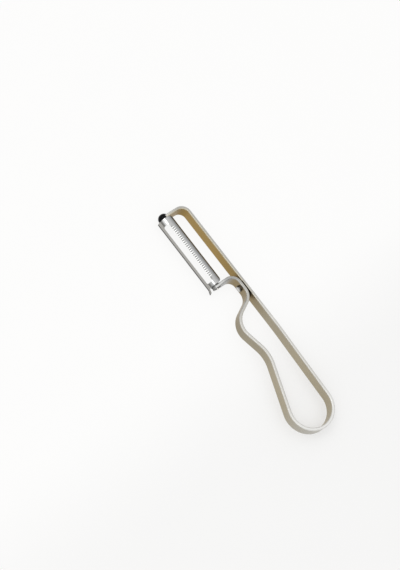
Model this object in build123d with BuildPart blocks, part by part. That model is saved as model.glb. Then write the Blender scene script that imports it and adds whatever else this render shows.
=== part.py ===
"""Vegetable peeler: a swivelling blade held between the two arms of one bent steel strip."""

from build123d import *
import math
import os

os.makedirs("parts", exist_ok=True)

# Sizes are in millimetres and angles in degrees.
# Stations run along the spine from the butt of the handle towards the nose.
# Offsets run across the peeler from the outer face of the spine towards the blade.

# Handle strip
strip_width = 10.0
strip_thickness = 2.0
strip_edge_radius = 0.55
loop_radius = 15.05
loop_lift = 1.8
spine_bend_station = 76.0
spine_bend_radius = 400.0
front_arm_station = 170.5
front_corner_radius = 6.0
rear_arm_station = 113.2
rear_arm_radius = 6.2
neck_gap = 0.4
neck_station = 101.5
neck_radius = 8.8
flank_spread = 1.05
hump_top_offset = 22.3
hump_radius = 13.0
notch_spacing = 18.7
notch_dip = 3.2
notch_radius = 24.0
arm_tip_radius = 3.0
arm_taper_length = 4.5

# Neck rivet
rivet_station = 104.0
rivet_radius = 1.5
rivet_head_radius = 2.2
rivet_head_height = 1.5
rivet_tail_height = 0.6
rivet_head_rounding = 0.5

# Blade
swivel_offset = 17.25
resting_swing = 36.0
blade_radius = 5.55
blade_sheet = 0.85
end_gap = 0.3
rear_band = 3.0
front_band = 4.4
slot_width = 4.4
slot_shift = 0.45
slot_corner_radius = 1.2
rear_shoulder_radius = 4.2
front_shoulder_radius = 3.2
guard_corner_radius = 1.5
tongue_radius = 3.2
tooth_pitch = 1.5
tooth_land = 0.25
tooth_depth = 0.5
tooth_slope = 3.0
tooth_row_margin = 2.6
stop_tab_angle = 45.0
stop_tab_overhang = 0.6
stop_tab_flare = 1.0
stop_tab_rounding = 0.8

# Pivot pins
pin_radius = 1.2
pin_head_radius = 1.9
pin_head_thickness = 0.7
peened_head_radius = 1.6
peened_head_skirt = 0.2
peened_head_rise = 0.6
front_pin_reach = 1.0

# Nose cap
cap_radius = 3.8
cap_skirt = 1.6
cap_dome = 2.9
cap_rounding = 1.5

# Fits
running_clearance = 0.05
seat_clearance = 0.02
overrun = 1.0


# Middle line of the strip, from the tip of the rear arm round the handle to the tip of the front
# arm. Each bend has the station and offset of its centre and a radius, which is negative where the
# strip turns right, and zero at the two tips.
spine_offset = strip_thickness / 2
neck_offset = strip_thickness + neck_gap + strip_thickness / 2
arm_tip_offset = swivel_offset + arm_tip_radius
hump_station = neck_station - neck_radius - hump_radius - flank_spread
loop_offset = spine_offset + loop_lift + loop_radius
strip_bends = [
    (rear_arm_station, arm_tip_offset, 0),
    (rear_arm_station - rear_arm_radius, neck_offset + rear_arm_radius, -rear_arm_radius),
    (neck_station, neck_offset + neck_radius, -neck_radius),
    (hump_station, hump_top_offset - hump_radius, hump_radius),
    (hump_station - notch_spacing, hump_top_offset - notch_dip + notch_radius, -notch_radius),
    (strip_thickness / 2 + loop_radius, loop_offset, loop_radius),
    (spine_bend_station, spine_offset + spine_bend_radius, spine_bend_radius),
    (front_arm_station - front_corner_radius, spine_offset + front_corner_radius, front_corner_radius),
    (front_arm_station, arm_tip_offset, 0),
]


def straight_headings(bends):
    """Headings, in radians, of the straights that join each bend to the next without a kink."""
    headings = []
    for (station, offset, radius), (next_station, next_offset, next_radius) in zip(bends, bends[1:]):
        across = next_offset - offset
        along = next_station - station
        lean = math.asin((next_radius - radius) / math.hypot(along, across))
        headings.append(math.atan2(across, along) - lean)
    return headings


def face_point(bend, heading, shift):
    """Where a face of the strip, shifted to the left of the middle line, has a heading in a bend."""
    station, offset, radius = bend
    reach = radius - shift
    return (station + reach * math.sin(heading), offset - reach * math.cos(heading))


def draw_strip_face(bends, shift):
    """Draw one face of the strip as straights and arcs, and return its first and last point."""
    headings = straight_headings(bends)
    first = face_point(bends[0], headings[0], shift)
    start = first
    for bend, heading, next_heading in zip(bends[1:], headings, headings[1:]):
        turn = (next_heading - heading) % math.tau
        if bend[2] < 0:
            turn -= math.tau
        entry = face_point(bend, heading, shift)
        middle = face_point(bend, heading + turn / 2, shift)
        exit_point = face_point(bend, heading + turn, shift)
        Line(start, entry)
        ThreePointArc(entry, middle, exit_point)
        start = exit_point
    last = face_point(bends[-1], headings[-1], shift)
    Line(start, last)
    return first, last


# The row's origin is under the middle of the peeler, which lies on the lower edge of its strip.
cap_base_station = front_arm_station - strip_thickness / 2
nose_station = cap_base_station + cap_skirt + cap_dome
loop_top_offset = loop_offset + loop_radius + strip_thickness / 2
middle_station = nose_station / 2
middle_offset = (loop_top_offset - rivet_tail_height) / 2
bench = Plane(origin=(-middle_station, -middle_offset, 0))

# Planes across the spine, with their origin on the swivel axis and local X towards the finger side
swivel_height = strip_width / 2
rear_arm_face = rear_arm_station + strip_thickness / 2
blade_rear_station = rear_arm_face + end_gap
blade_front_station = cap_base_station - end_gap
blade_length = blade_front_station - blade_rear_station


def cross_plane(station, swing=0.0):
    """A plane square to the swivel axis at a station, turned by a swing of the blade."""
    point = bench.from_local_coords((station, swivel_offset, swivel_height))
    turn = math.radians(swing)
    return Plane(origin=point, x_dir=(0, math.cos(turn), -math.sin(turn)), z_dir=(1, 0, 0))


def blade_plane(station):
    """The same plane turned with the blade, so that its local Y points through the crown."""
    return cross_plane(station, resting_swing)


def draw_dome(radius, skirt, rise):
    """Draw half the section of a round boss, a straight skirt under a ball-shaped dome."""
    ball_radius = (radius**2 + rise**2) / (2 * rise)
    side = Line((0, radius), (skirt, radius))
    crown = RadiusArc(side @ 1, (skirt + rise, 0), ball_radius)
    Polyline(crown @ 1, (0, 0), side @ 0)


# Handle strip: one flat strip on edge, bent into spine, loop, finger rest, neck and two arms
with BuildPart() as handle_strip:
    with BuildSketch(bench):
        with BuildLine():
            left_start, left_end = draw_strip_face(strip_bends, strip_thickness / 2)
            right_start, right_end = draw_strip_face(strip_bends, -strip_thickness / 2)
            Line(left_start, right_start)
            Line(left_end, right_end)
        make_face()
    extrude(amount=strip_width)
    long_edges = handle_strip.edges().group_by(Axis.Z)
    fillet(long_edges[0] + long_edges[-1], radius=strip_edge_radius)

    # Both arms narrow to a round tip about the swivel axis.
    rear_cut_station = rear_arm_station - strip_thickness / 2 - overrun
    front_cut_station = front_arm_station - strip_thickness / 2 - overrun
    with BuildSketch(cross_plane(rear_cut_station), cross_plane(front_cut_station)):
        with Locations(((arm_tip_radius + overrun - arm_taper_length) / 2, 0)):
            Rectangle(arm_taper_length + arm_tip_radius + overrun, strip_width + 2 * overrun)
        with BuildLine(mode=Mode.PRIVATE) as arm_tongue:
            CenterArc((0, 0), arm_tip_radius, 0, 360)
            Line((-arm_taper_length, -strip_width / 2), (-arm_taper_length, strip_width / 2))
        make_hull(arm_tongue.edges(), mode=Mode.SUBTRACT)
    extrude(amount=strip_thickness + 2 * overrun, mode=Mode.SUBTRACT)

    # One line of bores for the pivot pins
    with BuildSketch(cross_plane(rear_cut_station)):
        Circle(pin_radius + running_clearance)
    extrude(amount=front_arm_station - rear_cut_station + strip_thickness, mode=Mode.SUBTRACT)

    # Rivet hole through the neck and the spine
    rivet_point = bench.from_local_coords((rivet_station, 0, swivel_height))
    rivet_plane = Plane(origin=rivet_point, x_dir=(1, 0, 0), z_dir=(0, 1, 0))
    with BuildSketch(rivet_plane.offset(-overrun)):
        Circle(rivet_radius + seat_clearance)
    rivet_grip = neck_offset + strip_thickness / 2
    extrude(amount=rivet_grip + 2 * overrun, mode=Mode.SUBTRACT)
handle_strip.part.label = "handle_strip"

# Neck rivet: a thick head on the finger side and a low closed head on the spine
with BuildPart() as neck_rivet:
    with BuildSketch(rivet_plane):
        Circle(rivet_radius)
    extrude(amount=rivet_grip)
    with BuildSketch(rivet_plane.offset(rivet_grip)):
        Circle(rivet_head_radius)
    extrude(amount=rivet_head_height)
    fillet(neck_rivet.edges().sort_by(Axis.Y)[-1], radius=rivet_head_rounding)
    with BuildSketch(rivet_plane.offset(-rivet_tail_height)):
        Circle(rivet_head_radius)
    extrude(amount=rivet_tail_height)
    fillet(neck_rivet.edges().sort_by(Axis.Y)[0], radius=rivet_head_rounding)
neck_rivet.part.label = "neck_rivet"

# Blade: a half tube of sheet, slotted along its crown, with a tongue folded down at each end
blade_inner_radius = blade_radius - blade_sheet
slot_length = blade_length - rear_band - front_band
slot_middle_station = blade_rear_station + rear_band + slot_length / 2
blade_root = blade_plane(blade_rear_station)
crown_direction = blade_root.y_dir
with BuildPart() as blade:
    with BuildSketch(blade_root):
        with BuildLine():
            outer_arc = CenterArc((0, 0), blade_radius, 0, 180)
            inner_arc = CenterArc((0, 0), blade_inner_radius, 0, 180)
            Line(outer_arc @ 0, inner_arc @ 0)
            Line(outer_arc @ 1, inner_arc @ 1)
        make_face()
    extrude(amount=blade_length)

    # Stop tab: the guard side runs on past the rear arm and flares away from it.
    stop_tab_length = end_gap + strip_thickness + stop_tab_overhang
    with BuildSketch(Plane(origin=blade_root.origin, x_dir=(-1, 0, 0), z_dir=-crown_direction)):
        with BuildLine():
            tab_outside = Line((-blade_sheet, blade_radius), (0, blade_radius))
            tab_flare = Line(tab_outside @ 1, (stop_tab_length, blade_radius + stop_tab_flare))
            tab_end = Line(tab_flare @ 1, tab_flare @ 1 - (0, blade_sheet))
            tab_inside = Polyline(tab_end @ 1, (0, blade_inner_radius), (-blade_sheet, blade_inner_radius))
            Line(tab_inside @ 1, tab_outside @ 0)
        make_face()
    revolve(axis=Axis(blade_root.origin, (1, 0, 0)), revolution_arc=stop_tab_angle)

    # Rounded corners of the sheet, each by its station, its angle round the tube and its radius.
    # The waste is a four-pointed star on the corner, which leaves the same round whatever its side.
    sheet_corners = [
        (blade_rear_station - stop_tab_length, 0, stop_tab_rounding),
        (blade_rear_station - stop_tab_length, stop_tab_angle, stop_tab_rounding),
        (blade_rear_station, 180, rear_shoulder_radius),
        (blade_front_station, 0, guard_corner_radius),
        (blade_front_station, 180, front_shoulder_radius),
    ]
    for station, angle, radius in sheet_corners:
        outward = cross_plane(station, resting_swing - angle).x_dir
        corner_plane = Plane(origin=cross_plane(station).origin, x_dir=(1, 0, 0), z_dir=outward)
        with BuildSketch(corner_plane):
            Rectangle(2 * radius, 2 * radius)
            with GridLocations(2 * radius, 2 * radius, 2, 2):
                Circle(radius, mode=Mode.SUBTRACT)
        extrude(amount=blade_radius + stop_tab_flare + overrun, mode=Mode.SUBTRACT)

    # Tongues that carry the pivot pins
    with BuildSketch(blade_root, blade_root.offset(blade_length - blade_sheet)):
        Rectangle(2 * tongue_radius, blade_radius, align=(Align.CENTER, Align.MIN))
        Circle(blade_radius, mode=Mode.INTERSECT)
        Circle(tongue_radius)
        Circle(pin_radius + seat_clearance, mode=Mode.SUBTRACT)
    extrude(amount=blade_sheet)

    # Slot through the crown, nearer the guard side than the cutting side
    slot_origin = blade_plane(slot_middle_station).origin
    slot_plane = Plane(origin=slot_origin, x_dir=(1, 0, 0), z_dir=crown_direction)
    with BuildSketch(slot_plane):
        with Locations((0, slot_shift)):
            RectangleRounded(slot_length, slot_width, slot_corner_radius)
    extrude(amount=blade_radius + overrun, mode=Mode.SUBTRACT)

    # Fluted cutting edge: a row of round grooves in the outside that deepen towards the slot
    tooth_radius = (tooth_pitch - tooth_land) / 2
    flute_radius = blade_radius + tooth_radius - tooth_depth
    edge_reach = slot_width / 2 - slot_shift
    edge_angle = math.degrees(math.asin(edge_reach / flute_radius))
    flute_direction = cross_plane(0, resting_swing - 180 - edge_angle + tooth_slope).x_dir
    flute_start = (-edge_reach, math.sqrt(flute_radius**2 - edge_reach**2), 0)
    flute_origin = blade_plane(slot_middle_station).from_local_coords(flute_start)
    flute_plane = Plane(origin=flute_origin, x_dir=(1, 0, 0), z_dir=flute_direction)
    tooth_count = int((slot_length - 2 * tooth_row_margin) / tooth_pitch)
    with BuildSketch(flute_plane.offset(-overrun)):
        with GridLocations(tooth_pitch, tooth_pitch, tooth_count, 1):
            Circle(tooth_radius)
    extrude(amount=blade_radius, mode=Mode.SUBTRACT)
blade.part.label = "blade"

# Rear pivot pin: headed inside the blade and peened over behind the rear arm
rear_grip = blade_sheet + end_gap + strip_thickness + end_gap
with BuildPart() as rear_pivot_pin:
    with BuildSketch(cross_plane(blade_rear_station + blade_sheet)):
        Circle(pin_head_radius)
    extrude(amount=pin_head_thickness)
    with BuildSketch(cross_plane(blade_rear_station + blade_sheet)):
        Circle(pin_radius)
    extrude(amount=-rear_grip)
    peened_point = cross_plane(blade_rear_station + blade_sheet - rear_grip).origin
    with BuildSketch(Plane(origin=peened_point, x_dir=(-1, 0, 0), z_dir=(0, 0, 1))):
        with BuildLine():
            draw_dome(peened_head_radius, peened_head_skirt, peened_head_rise)
        make_face()
    revolve(axis=Axis(peened_point, (1, 0, 0)))
rear_pivot_pin.part.label = "rear_pivot_pin"

# Front pivot pin: headed inside the blade, it runs through the front arm into the nose cap.
front_grip = blade_sheet + end_gap + strip_thickness + front_pin_reach
front_seat_station = blade_front_station - blade_sheet
with BuildPart() as front_pivot_pin:
    with BuildSketch(cross_plane(front_seat_station)):
        Circle(pin_head_radius)
    extrude(amount=-pin_head_thickness)
    with BuildSketch(cross_plane(front_seat_station)):
        Circle(pin_radius)
    extrude(amount=front_grip)
front_pivot_pin.part.label = "front_pivot_pin"

# Nose cap: a moulded dome pressed over the tip of the front arm
with BuildPart() as nose_cap:
    cap_point = cross_plane(cap_base_station).origin
    with BuildSketch(Plane(origin=cap_point, x_dir=(1, 0, 0), z_dir=(0, 0, 1))):
        with BuildLine():
            draw_dome(cap_radius, cap_skirt, cap_dome)
        make_face()
        shoulder = vertices().sort_by_distance((cap_skirt, cap_radius))[0]
        fillet(shoulder, radius=cap_rounding)
    revolve(axis=Axis(cap_point, (1, 0, 0)))
    with BuildSketch(cross_plane(cap_base_station - overrun)):
        make_hull(arm_tongue.edges())
        offset(amount=seat_clearance)
    extrude(amount=overrun + strip_thickness + seat_clearance, mode=Mode.SUBTRACT)
    with BuildSketch(cross_plane(cap_base_station)):
        Circle(pin_radius + running_clearance)
    extrude(amount=strip_thickness + front_pin_reach + end_gap, mode=Mode.SUBTRACT)
nose_cap.part.label = "nose_cap"

for piece in (handle_strip, neck_rivet, blade, rear_pivot_pin, front_pivot_pin, nose_cap):
    export_step(piece.part, f"parts/{piece.part.label}.step")
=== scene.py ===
"""Vegetable peeler on a pale table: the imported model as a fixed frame, its finishes, studio and camera.

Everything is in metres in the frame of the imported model. +X runs from the butt of the handle to the
nose, +Y from the spine to the finger rest, and +Z up through the width of the steel strip.
"""

import logging
import math
from dataclasses import dataclass
from enum import Enum
from typing import Any, Dict, List, Tuple, Union

import bpy
from mathutils import Matrix, Vector


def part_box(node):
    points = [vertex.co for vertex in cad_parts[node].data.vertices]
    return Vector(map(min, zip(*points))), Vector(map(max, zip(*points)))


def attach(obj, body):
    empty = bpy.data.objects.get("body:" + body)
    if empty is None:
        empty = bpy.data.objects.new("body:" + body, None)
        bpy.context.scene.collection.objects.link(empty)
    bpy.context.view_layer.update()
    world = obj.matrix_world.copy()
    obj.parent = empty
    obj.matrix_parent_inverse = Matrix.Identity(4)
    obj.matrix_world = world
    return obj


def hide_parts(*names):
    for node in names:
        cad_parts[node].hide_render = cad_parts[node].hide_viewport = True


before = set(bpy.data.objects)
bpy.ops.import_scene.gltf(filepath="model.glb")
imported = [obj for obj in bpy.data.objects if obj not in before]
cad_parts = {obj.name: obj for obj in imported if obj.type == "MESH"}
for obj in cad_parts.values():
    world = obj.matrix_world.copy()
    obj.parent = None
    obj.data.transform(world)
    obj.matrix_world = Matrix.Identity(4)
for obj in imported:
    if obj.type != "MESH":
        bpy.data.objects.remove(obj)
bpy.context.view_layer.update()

log = logging.getLogger("vegetable_peeler")

Colour = Tuple[float, float, float]
Point = Tuple[float, float, float]
Pair = Tuple[float, float]
Number = Union[float, "Value"]

MM = 0.001

# Where the blade's swivel axis runs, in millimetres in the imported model's frame
SWIVEL_Y = 0.6
SWIVEL_Z = 5.0

# What the strip's mesh keeps: where a point lay on the flat blank, and how far it lay above the
# middle of the strip's width before the arms were narrowed, both in millimetres
BLANK = "strip_blank"
RIM = "strip_rim"


class Value:
    """A number that a shader node gives, on which sums are written as on a plain number."""

    def __init__(self, board: "Board", socket: bpy.types.NodeSocket) -> None:
        """Wrap one output socket.

        Args:
            board: The node board that new Math nodes are added to.
            socket: The output socket that carries the number.
        """
        self.board = board
        self.socket = socket

    def _math(self, operation: str, *others: Number, clamp: bool = False) -> "Value":
        """Add a Math node with this value first.

        Args:
            operation: The Math node's operation.
            others: What goes into the node's further sockets.
            clamp: Whether the result is kept from 0 to 1.

        Returns:
            The node's result.
        """
        return self.board.math(operation, self, *others, clamp=clamp)

    def __add__(self, other: Number) -> "Value":
        """Return self + other."""
        return self._math("ADD", other)

    def __radd__(self, other: Number) -> "Value":
        """Return other + self."""
        return self._math("ADD", other)

    def __sub__(self, other: Number) -> "Value":
        """Return self - other."""
        return self._math("SUBTRACT", other)

    def __rsub__(self, other: Number) -> "Value":
        """Return other - self."""
        return self.board.math("SUBTRACT", other, self)

    def __mul__(self, other: Number) -> "Value":
        """Return self * other."""
        return self._math("MULTIPLY", other)

    def __rmul__(self, other: Number) -> "Value":
        """Return other * self."""
        return self._math("MULTIPLY", other)

    def __truediv__(self, other: Number) -> "Value":
        """Return self / other."""
        return self._math("DIVIDE", other)

    def __rtruediv__(self, other: Number) -> "Value":
        """Return other / self."""
        return self.board.math("DIVIDE", other, self)

    def __abs__(self) -> "Value":
        """Return abs(self)."""
        return self._math("ABSOLUTE")

    def sine(self) -> "Value":
        """Return the sine of self in radians."""
        return self._math("SINE")

    def root(self) -> "Value":
        """Return the square root of self."""
        return self._math("SQRT")

    def span(self, other: "Value") -> "Value":
        """Return the length of a flat vector of self and other."""
        return (self * self + other * other).root()

    def clamp(self) -> "Value":
        """Return self kept from 0 to 1."""
        return self._math("ADD", 0.0, clamp=True)

    def either(self, other: Number) -> "Value":
        """Return the larger of self and other."""
        return self._math("MAXIMUM", other)

    def both(self, other: Number) -> "Value":
        """Return the smaller of self and other."""
        return self._math("MINIMUM", other)

    def rise(self, low: float, high: float) -> "Value":
        """Add a mask that eases from 0 to 1.

        Args:
            low: Where the mask is 0 and starts to rise.
            high: Where it reaches 1. It may be lower than low.

        Returns:
            The mask.
        """
        node = self.board.node(
            "ShaderNodeMapRange",
            {"interpolation_type": "SMOOTHSTEP", "clamp": True},
            {"Value": self, "From Min": low, "From Max": high, "To Min": 0.0, "To Max": 1.0},
        )
        return Value(self.board, node.outputs["Result"])


class Board:
    """The node tree of one material or world, with one way to add any node."""

    def __init__(self, tree: bpy.types.NodeTree) -> None:
        """Empty a tree and start on it.

        Args:
            tree: The node tree to fill.
        """
        self.tree = tree
        tree.nodes.clear()

    def node(
        self, kind: str, settings: Dict[str, Any], inputs: Dict[Union[str, int], Any]
    ) -> bpy.types.Node:
        """Add a node, set its settings, then fill its sockets.

        Args:
            kind: Blender's name of the node type.
            settings: Attributes that are set before the sockets. "captures" gives a Capture
                Attribute node its items, each as a kind and a name.
            inputs: What goes into each socket, by its name or number: a plain value, a Value, an
                output socket, or a list of output sockets where the socket takes several.

        Returns:
            The new node.
        """
        node = self.tree.nodes.new(kind)
        for name, setting in settings.items():
            if name == "captures":
                for item_kind, item_name in setting:
                    node.capture_items.new(item_kind, item_name)
            else:
                setattr(node, name, setting)
        for name, given in inputs.items():
            socket = node.inputs[name]
            if isinstance(given, list):
                for source in given:
                    self.tree.links.new(source, socket)
            elif isinstance(given, Value):
                self.tree.links.new(given.socket, socket)
            elif isinstance(given, bpy.types.NodeSocket):
                self.tree.links.new(given, socket)
            elif socket.type == "RGBA" and len(given) == 3:
                socket.default_value = (*given, 1.0)
            else:
                socket.default_value = given
        return node

    def split(self, vector: bpy.types.NodeSocket) -> Tuple[Value, Value, Value]:
        """Return the X, Y and Z of a vector."""
        parts = self.node("ShaderNodeSeparateXYZ", {}, {"Vector": vector})
        return tuple(Value(self, parts.outputs[axis]) for axis in ("X", "Y", "Z"))

    def math(self, operation: str, *terms: Number, clamp: bool = False) -> Value:
        """Add a Math node.

        Args:
            operation: The node's operation.
            terms: What goes into its sockets, in order.
            clamp: Whether the result is kept from 0 to 1.

        Returns:
            The node's result.
        """
        settings = {"operation": operation, "use_clamp": clamp}
        node = self.node("ShaderNodeMath", settings, dict(enumerate(terms)))
        return Value(self, node.outputs[0])

    def place(self) -> Tuple[Value, Value, Value]:
        """Return the X, Y and Z of the surface in the object's own coordinates, in millimetres."""
        coordinates = self.node("ShaderNodeTexCoord", {}, {})
        return tuple(part / MM for part in self.split(coordinates.outputs["Object"]))

    def kept(self, name: str) -> bpy.types.Node:
        """Return an Attribute node that reads what was stored on the mesh under a name."""
        settings = {"attribute_type": "GEOMETRY", "attribute_name": name}
        return self.node("ShaderNodeAttribute", settings, {})

    def vector(self, x: Number, y: Number, z: Number) -> bpy.types.NodeSocket:
        """Return a vector made of three numbers."""
        return self.node("ShaderNodeCombineXYZ", {}, {"X": x, "Y": y, "Z": z}).outputs["Vector"]

    def noise(
        self,
        x: Number,
        y: Number,
        z: Number,
        detail: float = 2.0,
        roughness: float = 0.5,
        warp: float = 0.0,
    ) -> Value:
        """Add smooth noise from about -1 to 1, one lump long where its coordinates grow by one.

        Args:
            x: First coordinate, in lumps.
            y: Second coordinate, in lumps.
            z: Third coordinate, in lumps.
            detail: How many finer layers are added.
            roughness: How strong the finer layers are.
            warp: How much the noise is bent by itself.

        Returns:
            The noise.
        """
        inputs = {
            "Vector": self.vector(x, y, z),
            "Scale": 1.0,
            "Detail": detail,
            "Roughness": roughness,
            "Distortion": warp,
        }
        node = self.node("ShaderNodeTexNoise", {"noise_dimensions": "3D", "normalize": True}, inputs)
        return Value(self, node.outputs[0]) * 2.0 - 1.0

    def mix(self, share: Number, first: Any, second: Any) -> bpy.types.NodeSocket:
        """Mix two colours.

        Args:
            share: 0 for the first colour, 1 for the second.
            first: A colour or a colour socket.
            second: A colour or a colour socket.

        Returns:
            The mixed colour's socket.
        """
        settings = {"data_type": "RGBA", "clamp_factor": True}
        return self.node("ShaderNodeMix", settings, {0: share, 6: first, 7: second}).outputs[2]

    def shade(self, colour: Any, amount: Value) -> bpy.types.NodeSocket:
        """Return a colour made lighter or darker by an amount, 0 for no change."""
        inputs = {0: colour, 1: self.vector(amount + 1.0, amount + 1.0, amount + 1.0)}
        return self.node("ShaderNodeVectorMath", {"operation": "MULTIPLY"}, inputs).outputs[0]


@dataclass(frozen=True)
class Size:
    """One named input of a forming tree.

    Attributes:
        kind: The type of its socket.
        value: What it is set to.
    """

    kind: str
    value: Any


class FormingTree:
    """A Geometry Nodes tree that forms a piece from a guide mesh and named sizes."""

    def __init__(self, name: str, sizes: Dict[str, Size]) -> None:
        """Start a tree with its inputs.

        Args:
            name: Name of the tree.
            sizes: The tree's inputs, by name.
        """
        self.tree = bpy.data.node_groups.new(name, "GeometryNodeTree")
        self.sizes = sizes
        self.tree.interface.new_socket("Guide", in_out="INPUT", socket_type="NodeSocketGeometry")
        for size_name, size in sizes.items():
            self.tree.interface.new_socket(size_name, in_out="INPUT", socket_type=size.kind)
        self.tree.interface.new_socket("Piece", in_out="OUTPUT", socket_type="NodeSocketGeometry")
        self.board = Board(self.tree)
        self.given = self.board.node("NodeGroupInput", {}, {}).outputs

    def size(self, name: str) -> Value:
        """Return a named size for use in sums."""
        return Value(self.board, self.given[name])

    def field(self, kind: str, output: str) -> Value:
        """Return one output of a node that has no inputs."""
        return Value(self.board, self.board.node(kind, {}, {}).outputs[output])

    def step(
        self, kind: str, settings: Dict[str, Any], inputs: Dict[str, Any]
    ) -> bpy.types.NodeSocket:
        """Add a node that changes or makes geometry, and return its first output."""
        return self.board.node(kind, settings, inputs).outputs[0]

    def end(self, geometry: bpy.types.NodeSocket) -> None:
        """Make the geometry real, give it its material and hand it out.

        Args:
            geometry: The formed piece.
        """
        real = self.step("GeometryNodeRealizeInstances", {}, {"Geometry": geometry})
        dress = {"Geometry": real, "Material": self.given["Material"]}
        dressed = self.step("GeometryNodeSetMaterial", {}, dress)
        self.board.node("NodeGroupOutput", {}, {"Piece": dressed})

    def form(self, name: str, guide: bpy.types.Mesh) -> bpy.types.Object:
        """Run the tree on a guide and keep the result as a plain mesh.

        Args:
            name: Name of the finished piece.
            guide: The mesh that the tree starts from.

        Returns:
            The finished piece, at the origin and without modifiers.
        """
        host = bpy.data.objects.new(name + "_guide", guide)
        forming = host.modifiers.new("forming", "NODES")
        forming.node_group = self.tree
        for item in self.tree.interface.items_tree:
            if item.in_out == "INPUT" and item.name in self.sizes:
                forming[item.identifier] = self.sizes[item.name].value
        host.modifiers.new("flat_faces", "WEIGHTED_NORMAL").keep_sharp = True
        bpy.context.scene.collection.objects.link(host)
        depsgraph = bpy.context.evaluated_depsgraph_get()
        formed = host.evaluated_get(depsgraph)
        mesh = bpy.data.meshes.new_from_object(formed, preserve_all_data_layers=True, depsgraph=depsgraph)
        bpy.data.objects.remove(host)
        mesh.name = name
        piece = bpy.data.objects.new(name, mesh)
        bpy.context.scene.collection.objects.link(piece)
        log.info("%s formed with %d faces", name, len(mesh.polygons))
        return piece


@dataclass(frozen=True)
class Surface:
    """What a finish gives to its shader.

    Attributes:
        colour: Base colour, a colour or a socket.
        roughness: Roughness, a number or a Value.
        height: Relief of the surface, in millimetres.
        metallic: 1 for bare metal, 0 for plastic and for painted shadow.
    """

    colour: Any
    roughness: Number
    height: Value
    metallic: Number = 1.0


@dataclass(frozen=True)
class Finish:
    """A finish of the peeler's own metal or plastic.

    Attributes:
        name: The material's name.
        specular: Strength of the gloss where there is no metal, 0.5 for common plastic.
    """

    name: str
    specular: float = 0.5

    def surface(self, board: Board) -> Surface:
        """Lay out the finish's own nodes. Each finish has its own."""
        raise NotImplementedError

    def material(self) -> bpy.types.Material:
        """Build the material.

        Returns:
            The material, with a Principled shader fed by the finish's surface.
        """
        material = bpy.data.materials.new(self.name)
        material.use_nodes = True
        board = Board(material.node_tree)
        surface = self.surface(board)
        relief = {"Height": surface.height, "Strength": 1.0, "Distance": MM}
        bump = board.node("ShaderNodeBump", {}, relief)
        inputs = {
            "Base Color": surface.colour,
            "Roughness": surface.roughness,
            "Metallic": surface.metallic,
            "Specular IOR Level": self.specular,
            "Normal": bump.outputs["Normal"],
        }
        shader = board.node("ShaderNodeBsdfPrincipled", {}, inputs)
        board.node("ShaderNodeOutputMaterial", {}, {"Surface": shader.outputs["BSDF"]})
        return material

    def put_on(self, *pieces: bpy.types.Object) -> None:
        """Put the finish on pieces in place of what they have.

        Args:
            pieces: The objects to finish.
        """
        material = self.material()
        for piece in pieces:
            if piece.data.materials:
                for index in range(len(piece.data.materials)):
                    piece.data.materials[index] = material
            else:
                piece.data.materials.append(material)
            log.info("%s wears %s", piece.name, self.name)


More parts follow.
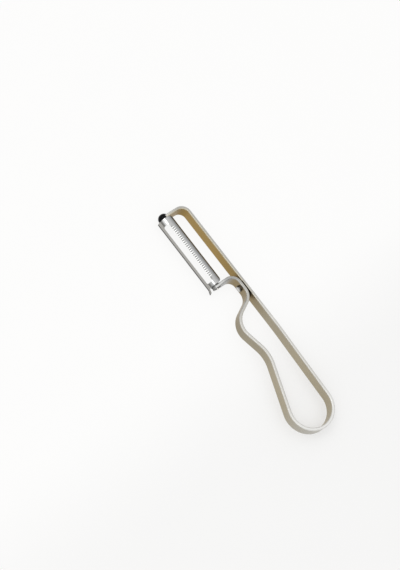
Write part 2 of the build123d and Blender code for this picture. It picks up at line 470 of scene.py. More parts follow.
@dataclass(frozen=True)
class StripSteel(Finish):
    """Satin strip steel with grain along the strip, tumbled edges, and painted light: a warm reflection at
    the head, highlights, sheen, shade and shadows.

    Ramps are pairs: where a mask is 0, then where it is 1. Places and sizes are in millimetres.

    Attributes:
        face: Colour of the broad faces.
        edge: Colour of the narrow edges.
        painted_highlight_edge: Colour of the narrow edges at the butt, a painted highlight.
        neutral_grey: Neutral grey, a painted sheen on the faces at the rear arm's tip and outside the
            butt, and the colour of the tip's edges.
        warm_reflection: Colour of the faces at the head where a warm reflection is painted.
        painted_shade_edge: Colour of the edges there, a painted shade, apart from their inner corner.
        painted_highlight_corner: Colour of the inner corner of those edges, a painted highlight.
        painted_shadow_colour: Colour of the painted shadow in the gap between neck and spine and round the
            heads of rivet and pin.
        half_width: Half the width of the strip.
        edge_round: Radius of the rounding between face and edge.
        reflection_ramp: Ramp in X of the painted warm reflection.
        arm_clear: Ramp along the strip of the tint behind the rear arm's tip.
        neck_end: Length along the strip up to where the tint is weaker.
        outside: Length along the strip from where its outer face takes the painted warm reflection only
            faintly.
        tip_sheen: Ramp along the strip of the painted sheen on the rear arm's tip.
        grey_tip_edge: Ramp along the strip of the neutral grey on the tip's edges.
        butt_sheen: Ramp in X of the painted sheen outside the butt.
        butt_highlight: Ramp in X of the painted highlight on the edges at the butt.
        gap: Lowest and highest Y of the painted shadow in the gap.
        gap_ends: Lowest and highest X of the painted shadow in the gap.
        gap_depth: Ramp down from the strip's upper edge of the painted shadow in the gap.
        rivet: The X and Z of the rivet's axis.
        rivet_head: Radius of the rivet's head.
        spot: How far in X and Z a spot of painted shadow lies from the rivet's axis.
        spot_size: Half the spot's length in X and in Z.
        pin_face: X of the rear arm's face behind the pin's head.
        pin_head: Radius of the pin's head.
    """

    specular: float = 0.1
    face: Colour = (0.380, 0.334, 0.240)
    edge: Colour = (0.715, 0.70, 0.66)
    painted_highlight_edge: Colour = (0.86, 0.855, 0.83)
    neutral_grey: Colour = (0.47, 0.47, 0.46)
    warm_reflection: Colour = (0.335, 0.218, 0.055)
    painted_shade_edge: Colour = (0.37, 0.365, 0.34)
    painted_highlight_corner: Colour = (0.66, 0.61, 0.48)
    painted_shadow_colour: Colour = (0.012, 0.010, 0.008)
    half_width: float = 5.0
    edge_round: float = 0.55
    reflection_ramp: Pair = (-12.0, 24.0)
    arm_clear: Pair = (9.0, 19.0)
    neck_end: float = 100.0
    outside: float = 190.0
    tip_sheen: Pair = (17.0, 9.0)
    grey_tip_edge: Pair = (24.0, 16.0)
    butt_sheen: Pair = (-58.0, -86.0)
    butt_highlight: Pair = (-58.0, -82.0)
    gap: Pair = (-15.5, -14.6)
    gap_ends: Pair = (8.0, 21.0)
    gap_depth: Pair = (4.97, 4.88)
    rivet: Pair = (17.0, SWIVEL_Z)
    rivet_head: float = 2.2
    spot: Pair = (-0.45, 3.8)
    spot_size: Pair = (1.5, 0.75)
    pin_face: float = 25.2
    pin_head: float = 1.9

    def tint(self, x: Value, along: Value, across: Value, cloud: Value) -> Value:
        """Lay out where the warm reflection is painted on the head.

        Args:
            x: Place in X.
            along: Length along the strip from the rear arm's tip.
            across: Place through the strip, above 0 towards the outer face.
            cloud: Clouding that makes the tint's start uneven.

        Returns:
            Where the warm reflection is painted: full inside the head, weaker on the neck, faint outside.
        """
        neck_share, outer_share = 0.45, 0.7
        tint = (x + cloud * 4.0).rise(*self.reflection_ramp) * along.rise(*self.arm_clear)
        on_neck = along.rise(self.neck_end, self.neck_end - 10.0) * x.rise(0.0, 14.0)
        tint = tint * (1.0 - on_neck * neck_share)
        outer = across.rise(-0.6, 0.6) * along.rise(self.outside - 10.0, self.outside)
        return tint * (1.0 - outer * outer_share)

    def painted_light_and_shade(self, x: Value, across: Value) -> Value:
        """Lay out painted light and shade on the faces.

        Args:
            x: Place in X.
            across: Place through the strip, above 0 towards the outer face.

        Returns:
            How much lighter the faces are painted: most at the butt, least at the neck, the nose and
                outside, where shade and a dark reflection are painted.
        """
        butt = x.rise(-14.0, -45.0) * 0.15
        neck = x.rise(-14.0, 0.0) * x.rise(48.0, 30.0) * 0.13
        nose = x.rise(76.0, 82.0) * 0.25
        outside = across.rise(-0.5, 0.5) * x.rise(-50.0, -20.0) * 0.09
        return butt - neck - nose - outside

    def painted_shadows(self, place: Tuple[Value, Value, Value], lift: Value, cloud: Value) -> Value:
        """Lay out the painted shadows in corners.

        Args:
            place: The surface's X, Y and Z.
            lift: Height above or below the middle of the strip's width.
            cloud: Clouding that makes the painted shadows' outline uneven.

        Returns:
            Where painted shadow lies: deep in the neck's gap, round the rivet's head and behind the pin's.
        """
        x, y, z = place
        low, high = self.gap
        start, end = self.gap_ends
        fade = 0.08
        in_gap = y.rise(low - fade, low + fade) * y.rise(high + fade, high - fade)
        in_gap = in_gap * x.rise(start, start + 2.0) * x.rise(end, end - 2.0) * lift.rise(*self.gap_depth)
        off_x, off_z = x - self.rivet[0], z - self.rivet[1]
        reach = off_x.span(off_z) + cloud * 0.15
        on_neck = y.rise(-13.4, -13.1) * y.rise(-11.0, -11.4)
        ring = reach.rise(self.rivet_head + 0.4, self.rivet_head + 0.1) * 0.25
        spot_x = (off_x - self.spot[0]) / self.spot_size[0]
        spot_z = (off_z - self.spot[1]) / self.spot_size[1]
        above = (spot_x * spot_x + spot_z * spot_z + cloud * 0.5).rise(1.4, 0.3) * 0.9
        from_pin = y.span(off_z) + cloud * 0.1
        on_arm = x.rise(self.pin_face + 0.2, self.pin_face) * x.rise(24.0, 24.5)
        behind_pin = from_pin.rise(self.pin_head + 0.7, self.pin_head + 0.3) * on_arm
        return in_gap.either(on_neck * ring.either(above)).either(behind_pin)

    def surface(self, board: Board) -> Surface:
        """Lay out grain, clouding, hairlines, worn edges, painted light and shade, the painted warm
        reflection and painted shadows.

        Args:
            board: The material's node board.

        Returns:
            The strip's surface.
        """
        along, across, up = board.split(board.kept(BLANK).outputs["Vector"])
        lift = abs(Value(board, board.kept(RIM).outputs["Fac"]))
        place = board.place()
        x = place[0]
        grain = board.noise(along / 24.0, across / 0.2, up / 0.2, detail=2.0, roughness=0.6)
        streak = board.noise(along / 45.0, across / 0.5, up / 0.8, detail=2.0)
        cloud = board.noise(along / 9.0, across / 5.0, up / 5.0, detail=3.0)
        tumble = board.noise(along / 1.6, across / 1.2, up / 1.2, detail=2.0)
        lines = board.noise(along / 12.0, across / 0.3, up / 0.3, detail=1.0)
        hairline = abs(lines).rise(0.04, 0.0) * board.noise(along / 5.0, across, up / 1.2).rise(0.1, 0.6)
        face_end = self.half_width - self.edge_round
        on_edge = lift.rise(face_end - 0.25 * self.edge_round, face_end + 0.3 * self.edge_round)
        worn = lift.rise(self.half_width - 1.3, face_end) * (cloud * 0.5 + 0.6).clamp()
        # Painted warm reflection on the head
        tint = self.tint(x, along, across, cloud)
        # Painted shadows in the neck's gap, round the rivet's head and behind the pin's head
        painted_shadows = self.painted_shadows(place, lift, cloud)
        # Painted sheen: lighter neutral grey on the faces outside the butt and at the rear arm's tip
        outer_sheen = across.rise(-0.5, 0.5) * x.rise(*self.butt_sheen) * 0.6
        neutral_grey = along.rise(*self.tip_sheen).either(outer_sheen)
        face = board.mix(tint, board.mix(neutral_grey, self.face, self.neutral_grey), self.warm_reflection)
        # Grain, streaks, clouding, and painted light and shade on the faces
        face = board.shade(face, grain * 0.06 + streak * 0.05 + cloud * 0.05 + self.painted_light_and_shade(x, across))
        # Edges at the head: painted highlight on the inner corner, painted shade on the rest
        corner = board.mix(across.rise(-0.1, -0.7), self.painted_shade_edge, self.painted_highlight_corner)
        # Painted highlight on the edges at the butt
        edge = board.mix(x.rise(*self.butt_highlight), self.edge, self.painted_highlight_edge)
        # The rear arm tip's edges take the same neutral grey
        edge = board.mix(along.rise(*self.grey_tip_edge), edge, self.neutral_grey)
        edge = board.shade(board.mix(tint, edge, corner), tumble * 0.03 + cloud * 0.04)
        colour = board.mix((on_edge + worn * 0.2 + hairline * 0.12).clamp(), face, edge)
        # Painted shadow: near black, and below also rougher and not metallic
        colour = board.mix(painted_shadows, colour, self.painted_shadow_colour)
        rough_face = 0.36 + grain * 0.05 + cloud * 0.04 - hairline * 0.06
        rough_edge = 0.40 + tumble * 0.03
        roughness = rough_face * (1.0 - on_edge) + rough_edge * on_edge + painted_shadows * 0.3
        relief = grain * 0.0008 * (1.0 - on_edge) + tumble * 0.0006 * on_edge - hairline * 0.0008
        return Surface(colour, roughness, relief, metallic=1.0 - painted_shadows)


@dataclass(frozen=True)
class BladeSteel(Finish):
    """Polished blade sheet with rolling lines along the tube, painted highlights in the cuts and on the
    front band, and painted shade on the guard side, the lands and both rims.

    Places round the tube are given as the distance from the crown towards the guard side, where
    the tube's radius is 1. Ramps are pairs: where a mask is 0, then where it is 1.

    Attributes:
        tone: Colour of the polished sheet.
        painted_glint: Colour of the painted highlight in the flutes and on the front band.
        painted_guard_shade: Colour of the guard side, a painted shade.
        dark: Colour of the painted shade on the lands between the flutes, towards their tips, and on the
            cutting side's rim.
        rim: Colour of the painted shade on the guard's outer rim.
        radius: Outer radius of the tube, in millimetres.
        sheet: Thickness of its sheet, in millimetres.
        swing: Angle between the crown and straight up, in degrees.
        fluted: First and last X of the fluted edge, in millimetres.
        band: X from where the front band starts, in millimetres.
        cut_depth: Ramp in depth below the outside of the cuts that take the painted highlight, in
            millimetres.
        land_start: Ramp of the painted shade on the lands, on the side away from the edge.
        land_end: Ramp of the painted shade on the lands, at the edge.
        band_start: Ramp of the front band's painted highlight, on the cutting side.
        band_end: Ramp of the front band's painted highlight, on the guard side.
        guard: Ramp of the painted shade on the guard side.
        guard_rim: Ramp of the painted shade on the guard's rim.
        far_rim: Ramp of the painted shade on the cutting side's rim.
    """

    tone: Colour = (0.545, 0.548, 0.545)
    painted_glint: Colour = (0.88, 0.88, 0.87)
    painted_guard_shade: Colour = (0.40, 0.392, 0.37)
    dark: Colour = (0.20, 0.20, 0.19)
    rim: Colour = (0.05, 0.046, 0.04)
    radius: float = 5.55
    sheet: float = 0.85
    swing: float = 36.0
    fluted: Pair = (31.0, 76.0)
    band: float = 77.5
    cut_depth: Pair = (0.26, 0.42)
    land_start: Pair = (-0.50, -0.36)
    land_end: Pair = (-0.27, -0.30)
    band_start: Pair = (-0.36, -0.28)
    band_end: Pair = (0.14, 0.06)
    guard: Pair = (0.05, 0.3)
    guard_rim: Pair = (0.74, 0.84)
    far_rim: Pair = (-0.90, -0.98)

    def surface(self, board: Board) -> Surface:
        """Lay out rolling lines, handling marks, cuts, clouding, and the painted highlights and shade.

        Args:
            board: The material's node board.

        Returns:
            The blade's surface.
        """
        x, y, z = board.place()
        side, up = y - SWIVEL_Y, z - SWIVEL_Z
        reach = side.span(up)
        swing = math.radians(self.swing)
        from_crown = (side * math.cos(swing) - up * math.sin(swing)) / reach
        depth = self.radius - reach
        outside = depth.rise(self.sheet - 0.04, self.sheet - 0.12)
        # Painted highlight in the flute cuts
        cut = depth.rise(*self.cut_depth) * outside
        first, last = self.fluted
        # Painted shade on the lands between the flutes
        land = from_crown.rise(*self.land_start) * from_crown.rise(*self.land_end)
        land = land * x.rise(first, first + 1.0) * x.rise(last, last - 1.0) * (1.0 - cut)
        # Painted highlight on the front band
        polished = from_crown.rise(*self.band_start) * from_crown.rise(*self.band_end)
        polished = polished * x.rise(self.band, self.band + 0.4)
        # Painted shade on the guard's rim, which is also rougher and less metallic
        rim = from_crown.rise(*self.guard_rim)
        rolling = board.noise(x / 30.0, side / 0.16, up / 0.16, detail=3.0, roughness=0.6)
        cloud = board.noise(x / 7.0, side / 3.0, up / 3.0, detail=2.0)
        fine = board.noise(x / 0.25, side / 0.25, up / 0.25, detail=2.0)
        # Painted shade on the guard side
        sheet = board.mix(from_crown.rise(*self.guard), self.tone, self.painted_guard_shade)
        sheet = board.mix(rim, sheet, self.rim)
        # Painted shade on the lands and on the cutting side's rim
        sheet = board.mix((land + from_crown.rise(*self.far_rim)) * 0.8, sheet, self.dark)
        sheet = board.shade(sheet, rolling * 0.05 + cloud * 0.05)
        colour = board.mix(cut.either(polished), sheet, self.painted_glint)
        roughness = 0.17 + rolling * 0.04 + cloud * 0.03 + fine * 0.015 + cut * 0.12 + rim * 0.3
        relief = rolling * 0.0006 + fine * 0.0003
        return Surface(colour, roughness, relief, metallic=1.0 - rim * 0.8)


class Axis(Enum):
    """Which way a turned piece's axis runs."""

    ALONG = "X"
    ACROSS = "Y"


@dataclass(frozen=True)
class TurnedSteel(Finish):
    """Turned or pressed steel with rings about its own axis and painted shade towards its rim.

    Attributes:
        tone: Colour of the steel.
        centre: A point on the axis, in millimetres.
        axis: Which way the axis runs.
        rough: Roughness between the rings.
        shoulder: Radius from where shade is painted, darker towards the rim, in millimetres.
        ring_step: Distance from ring to ring, in millimetres.
    """

    tone: Colour = (0.60, 0.59, 0.57)
    centre: Point = (0.0, SWIVEL_Y, SWIVEL_Z)
    axis: Axis = Axis.ALONG
    rough: float = 0.24
    shoulder: float = 1.1
    ring_step: float = 0.16

    def surface(self, board: Board) -> Surface:
        """Lay out turning rings, small dents and painted shade towards the rim.

        Args:
            board: The material's node board.

        Returns:
            The turned piece's surface.
        """
        x, y, z = board.place()
        side = y - self.centre[1] if self.axis is Axis.ALONG else x - self.centre[0]
        radius = side.span(z - self.centre[2])
        patches = board.noise(x / 0.9, y / 0.9, z / 0.9).rise(-0.5, 0.6)
        rings = (radius * math.tau / self.ring_step).sine() * patches
        dents = board.noise(x / 0.45, y / 0.45, z / 0.45, detail=2.0)
        # Painted shade, darker towards the rim
        rim = radius.rise(self.shoulder, self.shoulder + 1.1)
        colour = board.shade(self.tone, rings * 0.05 + dents * 0.06 - rim * 0.55)
        roughness = self.rough + rings * 0.04 + dents * 0.06
        return Surface(colour, roughness, rings * 0.002 + dents * 0.006)


@dataclass(frozen=True)
class CapPlastic(Finish):
    """Glossy black moulding with a faint ripple and handling scuffs.

    Attributes:
        tone: Colour of the plastic.
    """

    specular: float = 0.08
    tone: Colour = (0.006, 0.006, 0.007)

    def surface(self, board: Board) -> Surface:
        """Lay out the ripple, scuffs and a slight bloom.

        Args:
            board: The material's node board.

        Returns:
            The cap's surface.
        """
        x, y, z = board.place()
        ripple = board.noise(x / 0.7, y / 0.7, z / 0.7, detail=1.0)
        scuff = abs(board.noise(x / 1.4, y / 0.10, z / 0.8, warp=0.6)).rise(0.05, 0.0)
        bloom = board.noise(x / 2.5, y / 2.5, z / 2.5, detail=3.0)
        colour = board.shade(self.tone, bloom * 0.25 + scuff * 0.6)
        roughness = 0.09 + bloom * 0.03 + scuff * 0.10
        return Surface(colour, roughness, ripple * 0.003 - scuff * 0.0006, metallic=0.0)


@dataclass(frozen=True)
class Bend:
    """One bend of the strip's middle line, or one of its two tips.

    Attributes:
        station: Centre along the spine, from the butt.
        offset: Centre across the peeler, from the outer face of the spine.
        radius: Radius, negative where the strip turns right and zero at a tip.
    """

    station: float
    offset: float
    radius: float

    def point(self, heading: float) -> Pair:
        """Return where the middle line has a heading in this bend."""
        return (
            self.station + self.radius * math.sin(heading),
            self.offset - self.radius * math.cos(heading),
        )


@dataclass
class Handle:
    """The bent strip with its rivet and nose cap, which all stay still. Sizes are in millimetres.

    Stations run along the spine from the butt. Offsets run across from the spine's outer face.

    Attributes:
        width: Width of the flat strip.
        thickness: Thickness of the flat strip.
        edge_round: Radius of the strip's long edges.
        tip_radius: Radius of the round tips of both arms.
        taper: How far from the swivel axis the arms start to narrow.
        pin_bore: Radius of the bores for the pivot pins.
        rivet_bore: Radius of the rivet hole.
        rivet_station: Station of the rivet.
        neck_gap: Gap between the neck and the spine.
        swivel_offset: Offset of the swivel axis.
        front_arm_station: Station of the front arm's middle line.
        front_corner: Radius of the bend between spine and front arm.
        rear_arm_station: Station of the rear arm's middle line.
        rear_corner: Radius of the bend between rear arm and neck.
        neck_station: Station of the centre of the bend that leaves the spine.
        neck_radius: Radius of that bend.
        flank_spread: How far the finger rest's hump stands back from touching that bend.
        hump_top: Offset of the hump's middle line at its top.
        hump_radius: Radius of the hump.
        notch_spacing: Distance between the hump and the hollow behind it.
        notch_dip: How much lower the hollow is than the hump's top.
        notch_radius: Radius of the hollow.
        loop_radius: Radius of the loop at the butt.
        loop_lift: How far the loop stands in from the spine's line.
        spine_bend_station: Station of the centre of the spine's slight bend.
        spine_bend: Radius of that bend.
        chord_error: How far a chord may leave its arc.
        overrun: How far a drill runs past what it bores.
        sharp_fold: Angle between two faces from where their edge is sharp, in degrees.
        rivet_rough: Roughness of the rivet's head.
    """

    width: float = 10.0
    thickness: float = 2.0
    edge_round: float = 0.55
    tip_radius: float = 3.0
    taper: float = 4.5
    pin_bore: float = 1.25
    rivet_bore: float = 1.52
    rivet_station: float = 104.0
    neck_gap: float = 0.4
    swivel_offset: float = 17.25
    front_arm_station: float = 170.5
    front_corner: float = 6.0
    rear_arm_station: float = 113.2
    rear_corner: float = 6.2
    neck_station: float = 101.5
    neck_radius: float = 8.8
    flank_spread: float = 1.05
    hump_top: float = 22.3
    hump_radius: float = 13.0
    notch_spacing: float = 18.7
    notch_dip: float = 3.2
    notch_radius: float = 24.0
    loop_radius: float = 15.05
    loop_lift: float = 1.8
    spine_bend_station: float = 76.0
    spine_bend: float = 400.0
    chord_error: float = 0.004
    overrun: float = 1.0
    sharp_fold: float = 35.0
    rivet_rough: float = 0.28

    def bends(self) -> List[Bend]:
        """List the strip's bends.

        Returns:
            The bends from the rear arm's tip round the handle to the front arm's tip.
        """
        spine = self.thickness / 2
        neck = self.thickness + self.neck_gap + spine
        tip = self.swivel_offset + self.tip_radius
        hump_station = self.neck_station - self.neck_radius - self.hump_radius - self.flank_spread
        notch_offset = self.hump_top - self.notch_dip + self.notch_radius
        return [
            Bend(self.rear_arm_station, tip, 0.0),
            Bend(self.rear_arm_station - self.rear_corner, neck + self.rear_corner, -self.rear_corner),
            Bend(self.neck_station, neck + self.neck_radius, -self.neck_radius),
            Bend(hump_station, self.hump_top - self.hump_radius, self.hump_radius),
            Bend(hump_station - self.notch_spacing, notch_offset, -self.notch_radius),
            Bend(spine + self.loop_radius, spine + self.loop_lift + self.loop_radius, self.loop_radius),
            Bend(self.spine_bend_station, spine + self.spine_bend, self.spine_bend),
            Bend(self.front_arm_station - self.front_corner, spine + self.front_corner, self.front_corner),
            Bend(self.front_arm_station, tip, 0.0),
        ]

    def tip_steps(self) -> List[float]:
        """Return how far from an arm's tip its guide has points, closer where the tip is round."""
        turns = [math.radians(angle) for angle in range(5, 70, 5)]
        rounding = [self.tip_radius * (1.0 - math.cos(turn)) for turn in turns]
        return rounding + [self.tip_radius + self.taper]

    def middle_line(self) -> List[Pair]:
        """Walk the strip's middle line from tip to tip.

        Returns:
            Points as station and offset. Straights have no points but their ends, apart from the arms.
        """
        bends = self.bends()
        headings = []
        for bend, following in zip(bends, bends[1:]):
            across, along = following.offset - bend.offset, following.station - bend.station
            lean = math.asin((following.radius - bend.radius) / math.hypot(along, across))
            headings.append(math.atan2(across, along) - lean)
        start, finish = bends[0], bends[-1]
        first = (math.cos(headings[0]), math.sin(headings[0]))
        last = (math.cos(headings[-1]), math.sin(headings[-1]))
        steps = [0.0] + self.tip_steps()
        points = [(start.station + step * first[0], start.offset + step * first[1]) for step in steps]
        for bend, heading, next_heading in zip(bends[1:-1], headings, headings[1:]):
            turn = (next_heading - heading) % math.tau
            if bend.radius < 0.0:
                turn -= math.tau
            finest = 2.0 * math.acos(1.0 - self.chord_error / abs(bend.radius))
            count = math.ceil(abs(turn) / finest)
            points += [bend.point(heading + turn * step / count) for step in range(count + 1)]
        steps.reverse()
        points += [(finish.station - step * last[0], finish.offset - step * last[1]) for step in steps]
        return points

    def guide(self) -> bpy.types.Mesh:
        """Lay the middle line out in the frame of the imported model.

        Returns:
            The line as a mesh of edges.
        """
        butt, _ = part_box("handle_strip")
        corners = [
            (butt[0] + station * MM, butt[1] + offset * MM, butt[2] + self.width / 2 * MM)
            for station, offset in self.middle_line()
        ]
        mesh = bpy.data.meshes.new("strip_middle_line")
        mesh.from_pydata(corners, [(index, index + 1) for index in range(len(corners) - 1)], [])
        return mesh

    def sizes(self, material: bpy.types.Material) -> Dict[str, Size]:
        """Return the inputs of the strip's tree, in metres.

        Args:
            material: The strip's finish.

        Returns:
            The inputs by name.
        """
        butt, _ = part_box("handle_strip")
        half = self.width / 2
        touch = math.atan2(half, self.taper) + math.acos(self.tip_radius / math.hypot(half, self.taper))
        touch_reach = self.tip_radius * math.cos(touch)
        touch_half = self.tip_radius * math.sin(touch)
        axis_z = butt[2] + half * MM
        pin_middle = (self.rear_arm_station + self.front_arm_station) / 2
        pin_length = self.front_arm_station - self.rear_arm_station + self.thickness + 2 * self.overrun
        grip = 2 * self.thickness + self.neck_gap
        lengths = {
            "Width": self.width,
            "Thickness": self.thickness,
            "Edge Round": self.edge_round,
            "Tip Radius": self.tip_radius,
            "Taper Touch Reach": touch_reach,
            "Taper Touch Half Width": touch_half,
            "Pin Bore": self.pin_bore,
            "Pin Bore Length": pin_length,
            "Rivet Bore": self.rivet_bore,
            "Rivet Bore Length": grip + 2 * self.overrun,
        }
        sizes = {name: Size("NodeSocketFloat", length * MM) for name, length in lengths.items()}
        slope = (half - touch_half) / (self.taper - touch_reach)
        sizes["Taper Slope"] = Size("NodeSocketFloat", slope)
        sizes["Axis Height"] = Size("NodeSocketFloat", axis_z)
        pin_point = (butt[0] + pin_middle * MM, butt[1] + self.swivel_offset * MM, axis_z)
        rivet_point = (butt[0] + self.rivet_station * MM, butt[1] + grip / 2 * MM, axis_z)
        sizes["Pin Bore Middle"] = Size("NodeSocketVector", pin_point)
        sizes["Rivet Bore Middle"] = Size("NodeSocketVector", rivet_point)
        sizes["Material"] = Size("NodeSocketMaterial", material)
        return sizes

    def bending_tree(self, material: bpy.types.Material) -> FormingTree:
        """Lay out the tree that bends flat strip along the middle line, narrows its arms and bores it.

        Args:
            material: The strip's finish.

        Returns:
            The tree, ready to form the strip.
        """
        tree = FormingTree("bend_strip", self.sizes(material))
        given, size = tree.given, tree.size
        path = tree.step("GeometryNodeMeshToCurve", {}, {"Mesh": given["Guide"]})
        path = tree.step("GeometryNodeSetCurveNormal", {"mode": "Z_UP"}, {"Curve": path})
        run = tree.field("GeometryNodeSplineParameter", "Length")
        from_tip = run.both(tree.field("GeometryNodeSplineLength", "Length") - run)
        path_kept = tree.board.node(
            "GeometryNodeCaptureAttribute",
            {"domain": "POINT", "captures": (("FLOAT", "Run"), ("FLOAT", "From Tip"))},
            {"Geometry": path, "Run": run, "From Tip": from_tip},
        ).outputs
        section = tree.step(
            "GeometryNodeCurvePrimitiveQuadrilateral",
            {"mode": "RECTANGLE"},
            {"Width": given["Thickness"], "Height": given["Width"]},
        )
        rounded = tree.step(
            "GeometryNodeFilletCurve",
            {"mode": "POLY"},
            {"Curve": section, "Count": 7, "Radius": given["Edge Round"]},
        )
        section_kept = tree.board.node(
            "GeometryNodeCaptureAttribute",
            {"domain": "POINT", "captures": (("VECTOR", "Section"),)},
            {"Geometry": rounded, "Section": tree.field("GeometryNodeInputPosition", "Position")},
        ).outputs
        path, section = path_kept["Geometry"], section_kept["Geometry"]
        swept = {"Curve": path, "Profile Curve": section, "Fill Caps": True}
        strip = tree.step("GeometryNodeCurveToMesh", {}, swept)
        past_axis = Value(tree.board, path_kept["From Tip"]) - size("Tip Radius")
        round_half = (size("Tip Radius") * size("Tip Radius") - past_axis * past_axis).either(0.0).root()
        straight_half = (past_axis - size("Taper Touch Reach")) * size("Taper Slope")
        straight_half = (straight_half + size("Taper Touch Half Width")).both(size("Width") / 2.0)
        on_round = tree.board.math("LESS_THAN", past_axis, size("Taper Touch Reach"))
        half = round_half * on_round + straight_half * (1.0 - on_round)
        height = tree.board.split(tree.field("GeometryNodeInputPosition", "Position").socket)[2]
        shift = (height - size("Axis Height")) * (half / (size("Width") / 2.0) - 1.0)
        offset = tree.board.vector(0.0, 0.0, shift)
        strip = tree.step("GeometryNodeSetPosition", {}, {"Geometry": strip, "Offset": offset})
        across, up, _ = tree.board.split(section_kept["Section"])
        lift = (height - size("Axis Height")) / MM
        blank = tree.board.vector(Value(tree.board, path_kept["Run"]) / MM, across / MM, lift)
        strip = tree.step(
            "GeometryNodeStoreNamedAttribute",
            {"data_type": "FLOAT_VECTOR", "domain": "CORNER"},
            {"Geometry": strip, "Name": BLANK, "Value": blank},
        )
        strip = tree.step(
            "GeometryNodeStoreNamedAttribute",
            {"data_type": "FLOAT", "domain": "CORNER"},
            {"Geometry": strip, "Name": RIM, "Value": up / MM},
        )
        drills = [
            self.drill(tree, "Pin Bore", (0.0, math.pi / 2, 0.0)),
            self.drill(tree, "Rivet Bore", (math.pi / 2, 0.0, 0.0)),
        ]
        strip = tree.step(
            "GeometryNodeMeshBoolean",
            {"operation": "DIFFERENCE", "solver": "EXACT"},
            {"Mesh 1": strip, "Mesh 2": drills},
        )
        strip = tree.step(
            "GeometryNodeSetShadeSmooth", {"domain": "FACE"}, {"Geometry": strip, "Shade Smooth": True}
        )
        fold = tree.field("GeometryNodeInputMeshEdgeAngle", "Unsigned Angle")
        sharp = tree.board.math("GREATER_THAN", fold, math.radians(self.sharp_fold))
        strip = tree.step(
            "GeometryNodeSetShadeSmooth",
            {"domain": "EDGE"},
            {"Geometry": strip, "Selection": sharp, "Shade Smooth": False},
        )
        tree.end(strip)
        return tree

    @staticmethod
    def drill(tree: FormingTree, name: str, turn: Point) -> bpy.types.NodeSocket:
        """Add the round cutter of one bore to a tree.

        Args:
            tree: The strip's tree.
            name: Name of the size that holds the bore's radius.
            turn: How the cutter is turned from upright, in radians.

        Returns:
            The cutter's geometry.
        """
        inputs = {
            "Vertices": 48,
            "Radius": tree.given[name],
            "Depth": tree.given[name + " Length"],
        }
        cutter = tree.step("GeometryNodeMeshCylinder", {}, inputs)
        place = {"Geometry": cutter, "Translation": tree.given[name + " Middle"], "Rotation": turn}
        return tree.step("GeometryNodeTransform", {}, place)

    def build(self) -> None:
        """Form the strip in place of its solid, in its own finish."""
        finish = StripSteel("satin_strip_steel", half_width=self.width / 2, edge_round=self.edge_round)
        strip = self.bending_tree(finish.material()).form("bent_strip", self.guide())
        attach(strip, "handle")
        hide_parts("handle_strip")

    def dress(self) -> None:
        """Finish the rivet and the cap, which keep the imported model's shapes."""
        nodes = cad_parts
        butt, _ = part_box("handle_strip")
        centre = (butt[0] / MM + self.rivet_station, 0.0, SWIVEL_Z)
        rivet_steel = TurnedSteel("rivet_steel", centre=centre, axis=Axis.ACROSS, rough=self.rivet_rough)
        rivet_steel.put_on(nodes["neck_rivet"])
        CapPlastic("black_cap_plastic").put_on(nodes["nose_cap"])


@dataclass
class Blade:
    """The half tube that swings on its two pins. Sizes are in millimetres.

    Attributes:
        radius: Outer radius of the tube.
        sheet: Thickness of its sheet.
        rest_swing: Angle that the blade rests at, in degrees.
        pin_tone: Colour of the pins' steel, raised to a painted highlight on their heads.
        pin_shoulder: Radius from where painted shade darkens the pins' heads.
    """

    radius: float = 5.55
    sheet: float = 0.85
    rest_swing: float = 36.0
    pin_tone: Colour = (0.88, 0.875, 0.86)
    pin_shoulder: float = 1.35

    def dress(self) -> None:
        """Finish the blade and its pins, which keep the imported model's shapes."""
        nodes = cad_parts
        sheet_steel = BladeSteel(
            "polished_blade_steel", radius=self.radius, sheet=self.sheet, swing=self.rest_swing
        )
        sheet_steel.put_on(nodes["blade"])
        # Light pin colour: a painted highlight on the pins' heads, with painted shade towards their rims
        pin_steel = TurnedSteel("pin_steel", tone=self.pin_tone, shoulder=self.pin_shoulder)
        pin_steel.put_on(nodes["rear_pivot_pin"], nodes["front_pivot_pin"])


@dataclass(frozen=True)
class Softbox:
    """A soft light that faces the peeler.

    Attributes:
        name: Name of the light.
        towards: Direction from the peeler to the light.
        distance: How far away it hangs.
        length: Its length along X.
        width: Its width.
        glow: Its brightness, where 1 is white.
    """

    name: str
    towards: Point
    distance: float
    length: float
    width: float
    glow: float

    def hang(self) -> None:
        """Hang the light."""
        lamp = bpy.data.lights.new(self.name, "AREA")
        lamp.shape = "RECTANGLE"
        lamp.size = self.length
        lamp.size_y = self.width
        lamp.energy = self.glow * math.pi * self.length * self.width
        box = bpy.data.objects.new(self.name, lamp)
        back = Vector(self.towards).normalized()
        across = back.cross(Vector((1.0, 0.0, 0.0))).normalized()
        along = across.cross(back).normalized()
        turn = Matrix((along, across, back)).transposed()
        box.matrix_world = Matrix.Translation(back * self.distance) @ turn.to_4x4()
        bpy.context.scene.collection.objects.link(box)
        log.info("%s hung", self.name)


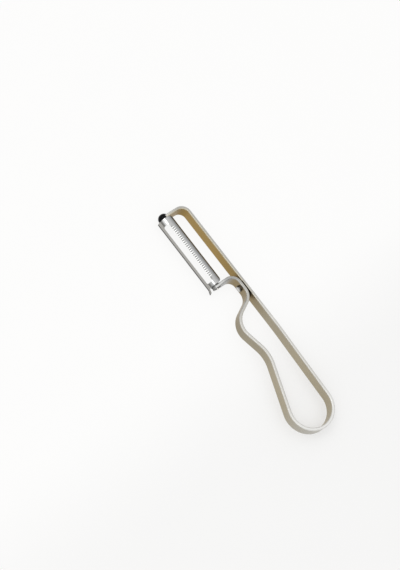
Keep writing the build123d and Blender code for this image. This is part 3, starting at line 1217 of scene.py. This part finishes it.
@dataclass
class Studio:
    """The pale table, the light of the room, the softbox and the camera, in metres.

    Attributes:
        camera_at: Where the camera stands.
        camera_up: The camera's up.
        camera_back: The way from the scene back to the camera.
        focal: Focal length in pixels of the picture.
        picture_height: Height of the picture in pixels.
        sensor: Sensor size of the long side, in millimetres.
        clip: Nearest and furthest distance that the camera sees.
        floor_radius: Radius of the table.
        floor_sides: Number of the table's straight sides.
        floor_drop: How far the table's top lies under the peeler, to keep the two surfaces apart.
        floor_tone: Colour of the table.
        floor_share: Share of the table's own colour in what the camera and the steel see of it, first
            under the blade, where it is the lightest, then under the loop.
        share_ramp: The X under the blade and under the loop between which the share changes, in
            millimetres.
        floor_fade: Distances between which the table takes the horizon's tone, in millimetres.
        floor_glow: Strength of that colour.
        grain_size: Size of the table's clouding, in millimetres.
        grain_depth: How much lighter or darker the clouding is.
        horizon: Brightness of the room at the horizon and below.
        zenith: Brightness of the room overhead.
        backdrop: Brightness of the room where the camera sees it past the table.
        key: The softbox.
    """

    camera_at: Point = (-0.0634, 0.2823, 0.5827)
    camera_up: Point = (0.7832, -0.5010, 0.3683)
    camera_back: Point = (-0.1498, 0.4229, 0.8937)
    focal: float = 1000.0
    picture_height: float = 570.0
    sensor: float = 36.0
    clip: Pair = (0.01, 50.0)
    floor_radius: float = 6.0
    floor_sides: int = 96
    floor_drop: float = 0.00005
    floor_tone: Colour = (0.965, 0.963, 0.958)
    floor_share: Pair = (0.88, 0.45)
    share_ramp: Pair = (10.0, -75.0)
    floor_fade: Pair = (450.0, 2600.0)
    floor_glow: float = 1.03
    grain_size: float = 40.0
    grain_depth: float = 0.004
    horizon: float = 0.28
    zenith: float = 1.02
    backdrop: float = 0.99
    key: Softbox = Softbox("key_softbox", (0.15, 0.32, 0.93), 1.1, length=1.1, width=0.34, glow=1.7)

    def lay_floor(self) -> None:
        """Lay the pale table, which reflections see fade to the horizon's tone far away."""
        mesh = bpy.data.meshes.new("table")
        turns = [math.tau * step / self.floor_sides for step in range(self.floor_sides)]
        radius = self.floor_radius
        ring = [(radius * math.cos(turn), radius * math.sin(turn), -self.floor_drop) for turn in turns]
        mesh.from_pydata(ring, [], [list(range(self.floor_sides))])
        mesh.materials.append(self.floor_material())
        floor = bpy.data.objects.new("table", mesh)
        bpy.context.scene.collection.objects.link(floor)
        log.info("table laid")

    def floor_material(self) -> bpy.types.Material:
        """Build the table's finish, part paper and part its own light where it is looked at.

        Returns:
            The material.
        """
        material = bpy.data.materials.new("pale_table")
        material.use_nodes = True
        board = Board(material.node_tree)
        x, y, _ = board.place()
        away = x.span(y).rise(*self.floor_fade)
        path = board.node("ShaderNodeLightPath", {}, {}).outputs
        camera = Value(board, path["Is Camera Ray"])
        looked_at = camera.either(Value(board, path["Is Glossy Ray"]))
        looked_at = looked_at.either(Value(board, path["Is Transmission Ray"]))
        grain = board.noise(x / self.grain_size, y / self.grain_size, 0.0, detail=3.0)
        near = board.shade(self.floor_tone, grain * self.grain_depth)
        colour = board.mix(away * (1.0 - camera), near, (self.horizon,) * 3)
        paper = board.node("ShaderNodeBsdfDiffuse", {}, {"Color": colour})
        glow = board.node("ShaderNodeEmission", {}, {"Color": colour, "Strength": self.floor_glow})
        under_blade, under_loop = self.floor_share
        share = x.rise(*self.share_ramp) * (1.0 - away) * (under_loop - under_blade) + under_blade
        share = share * (1.0 - away) + away
        shaders = {0: looked_at * share, 1: paper.outputs["BSDF"], 2: glow.outputs["Emission"]}
        mixed = board.node("ShaderNodeMixShader", {}, shaders)
        board.node("ShaderNodeOutputMaterial", {}, {"Surface": mixed.outputs["Shader"]})
        return material

    def light_room(self) -> None:
        """Light the room from a bright ceiling that darkens evenly towards the horizon."""
        world = bpy.data.worlds.new("studio_room")
        bpy.context.scene.world = world
        world.use_nodes = True
        board = Board(world.node_tree)
        coordinates = board.node("ShaderNodeTexCoord", {}, {})
        path = board.node("ShaderNodeLightPath", {}, {})
        lift = board.split(coordinates.outputs["Generated"])[2].clamp()
        tone = lift * (self.zenith - self.horizon) + self.horizon
        tone = tone.either(Value(board, path.outputs["Is Camera Ray"]) * self.backdrop)
        background = board.node("ShaderNodeBackground", {}, {"Color": (1.0, 1.0, 1.0), "Strength": tone})
        board.node("ShaderNodeOutputWorld", {}, {"Surface": background.outputs["Background"]})

    def set_camera(self) -> None:
        """Stand the camera at the photograph's viewing angle."""
        lens = bpy.data.cameras.new("camera")
        lens.sensor_width = self.sensor
        lens.lens = self.focal * self.sensor / self.picture_height
        lens.clip_start, lens.clip_end = self.clip
        camera = bpy.data.objects.new("camera", lens)
        back = Vector(self.camera_back).normalized()
        up = Vector(self.camera_up)
        up = (up - back * up.dot(back)).normalized()
        turn = Matrix((up.cross(back), up, back)).transposed()
        camera.matrix_world = Matrix.Translation(Vector(self.camera_at)) @ turn.to_4x4()
        bpy.context.scene.collection.objects.link(camera)
        bpy.context.scene.camera = camera

    def build(self) -> None:
        """Set up the whole studio."""
        self.lay_floor()
        self.light_room()
        self.key.hang()
        self.set_camera()
        bpy.context.scene.view_settings.view_transform = "Standard"


def main() -> None:
    """Build the peeler and the studio."""
    logging.basicConfig(level=logging.INFO, format="%(name)s: %(message)s")
    handle = Handle()
    handle.build()
    handle.dress()
    Blade().dress()
    Studio().build()


if __name__ == "__main__":
    main()
